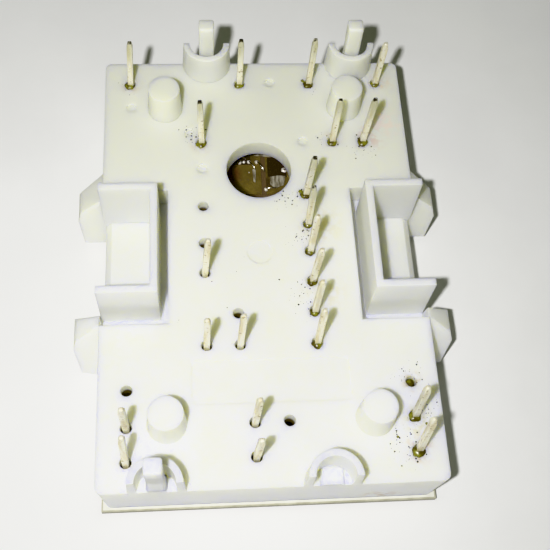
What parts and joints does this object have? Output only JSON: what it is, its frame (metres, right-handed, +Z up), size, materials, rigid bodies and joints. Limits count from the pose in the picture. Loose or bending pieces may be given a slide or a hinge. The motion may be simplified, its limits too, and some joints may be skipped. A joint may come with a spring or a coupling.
{
  "type": "solder-pin power semiconductor module",
  "caption": "Flat white moulded power module with upright solder pins, board stand-offs, flexing board latches and clamp pockets in its long sides.",
  "frame": {"origin": "middle of the heatsink face", "axes": "+X across the module, +Y along it towards the end with the fill hole, +Z up through the pins"},
  "size_m": [0.056, 0.071, 0.0224],
  "materials": {
    "white_plastic": "fine moulded satin, slightly translucent",
    "pin_metal": "tin-plated brass-coloured wire",
    "copper": "bare rolled copper",
    "ceramic": "sintered white ceramic",
    "silicon": "metallised grey silicon",
    "gel": "clear soft silicone",
    "thermistor_body": "dark sintered body"
  },
  "bodies": {
    "housing_assembly": {"brake_diode": "silicon", "brake_igbt": "silicon", "ceramic_substrate": "ceramic", "heatsink_copper": "copper", "housing": "white_plastic", "inverter_diode_1": "silicon", "inverter_diode_2": "silicon", "inverter_diode_3": "silicon", "inverter_diode_4": "silicon", "inverter_diode_5": "silicon", "inverter_diode_6": "silicon", "inverter_igbt_1": "silicon", "inverter_igbt_2": "silicon", "inverter_igbt_3": "silicon", "inverter_igbt_4": "silicon", "inverter_igbt_5": "silicon", "inverter_igbt_6": "silicon", "pin_01": "pin_metal", "pin_02": "pin_metal", "pin_03": "pin_metal", "pin_04": "pin_metal", "pin_05": "pin_metal", "pin_06": "pin_metal", "pin_07": "pin_metal", "pin_08": "pin_metal", "pin_09": "pin_metal", "pin_10": "pin_metal", "pin_11": "pin_metal", "pin_12": "pin_metal", "pin_13": "pin_metal", "pin_14": "pin_metal", "pin_15": "pin_metal", "pin_16": "pin_metal", "pin_17": "pin_metal", "pin_18": "pin_metal", "pin_19": "pin_metal", "pin_20": "pin_metal", "pin_21": "pin_metal", "pin_22": "pin_metal", "potting_gel": "gel", "rectifier_diode_1": "silicon", "rectifier_diode_2": "silicon", "rectifier_diode_3": "silicon", "rectifier_diode_4": "silicon", "rectifier_diode_5": "silicon", "rectifier_diode_6": "silicon", "thermistor": "thermistor_body", "track_brake": "copper", "track_dc_minus": "copper", "track_dc_plus": "copper", "track_phase_u": "copper", "track_phase_v": "copper", "track_phase_w": "copper", "track_rectifier_minus": "copper", "track_rectifier_plus": "copper", "track_signal": "copper", "track_thermistor": "copper"},
    "latch_far_left_post": {"latch_far_left": "white_plastic"},
    "latch_far_right_post": {"latch_far_right": "white_plastic"},
    "latch_near_left_post": {"latch_near_left": "white_plastic"}
  },
  "joints": [
    {"name": "latch_far_left_flex", "type": "hinge", "parent": "housing_assembly", "child": "latch_far_left_post", "pos_m": [-0.0076, 0.0342, 0.01255], "axis": [1, 0, 0], "range_deg": [0, 3.5], "stiffness_Nm_per_rad": 0.4},
    {"name": "latch_far_right_flex", "type": "hinge", "parent": "housing_assembly", "child": "latch_far_right_post", "pos_m": [0.0158, 0.0342, 0.01255], "axis": [1, 0, 0], "range_deg": [0, 3.5], "stiffness_Nm_per_rad": 0.4},
    {"name": "latch_near_left_flex", "type": "hinge", "parent": "housing_assembly", "child": "latch_near_left_post", "pos_m": [-0.0158, -0.0342, 0.01255], "axis": [-1, 0, 0], "range_deg": [0, 3.5], "stiffness_Nm_per_rad": 0.4}
  ]
}
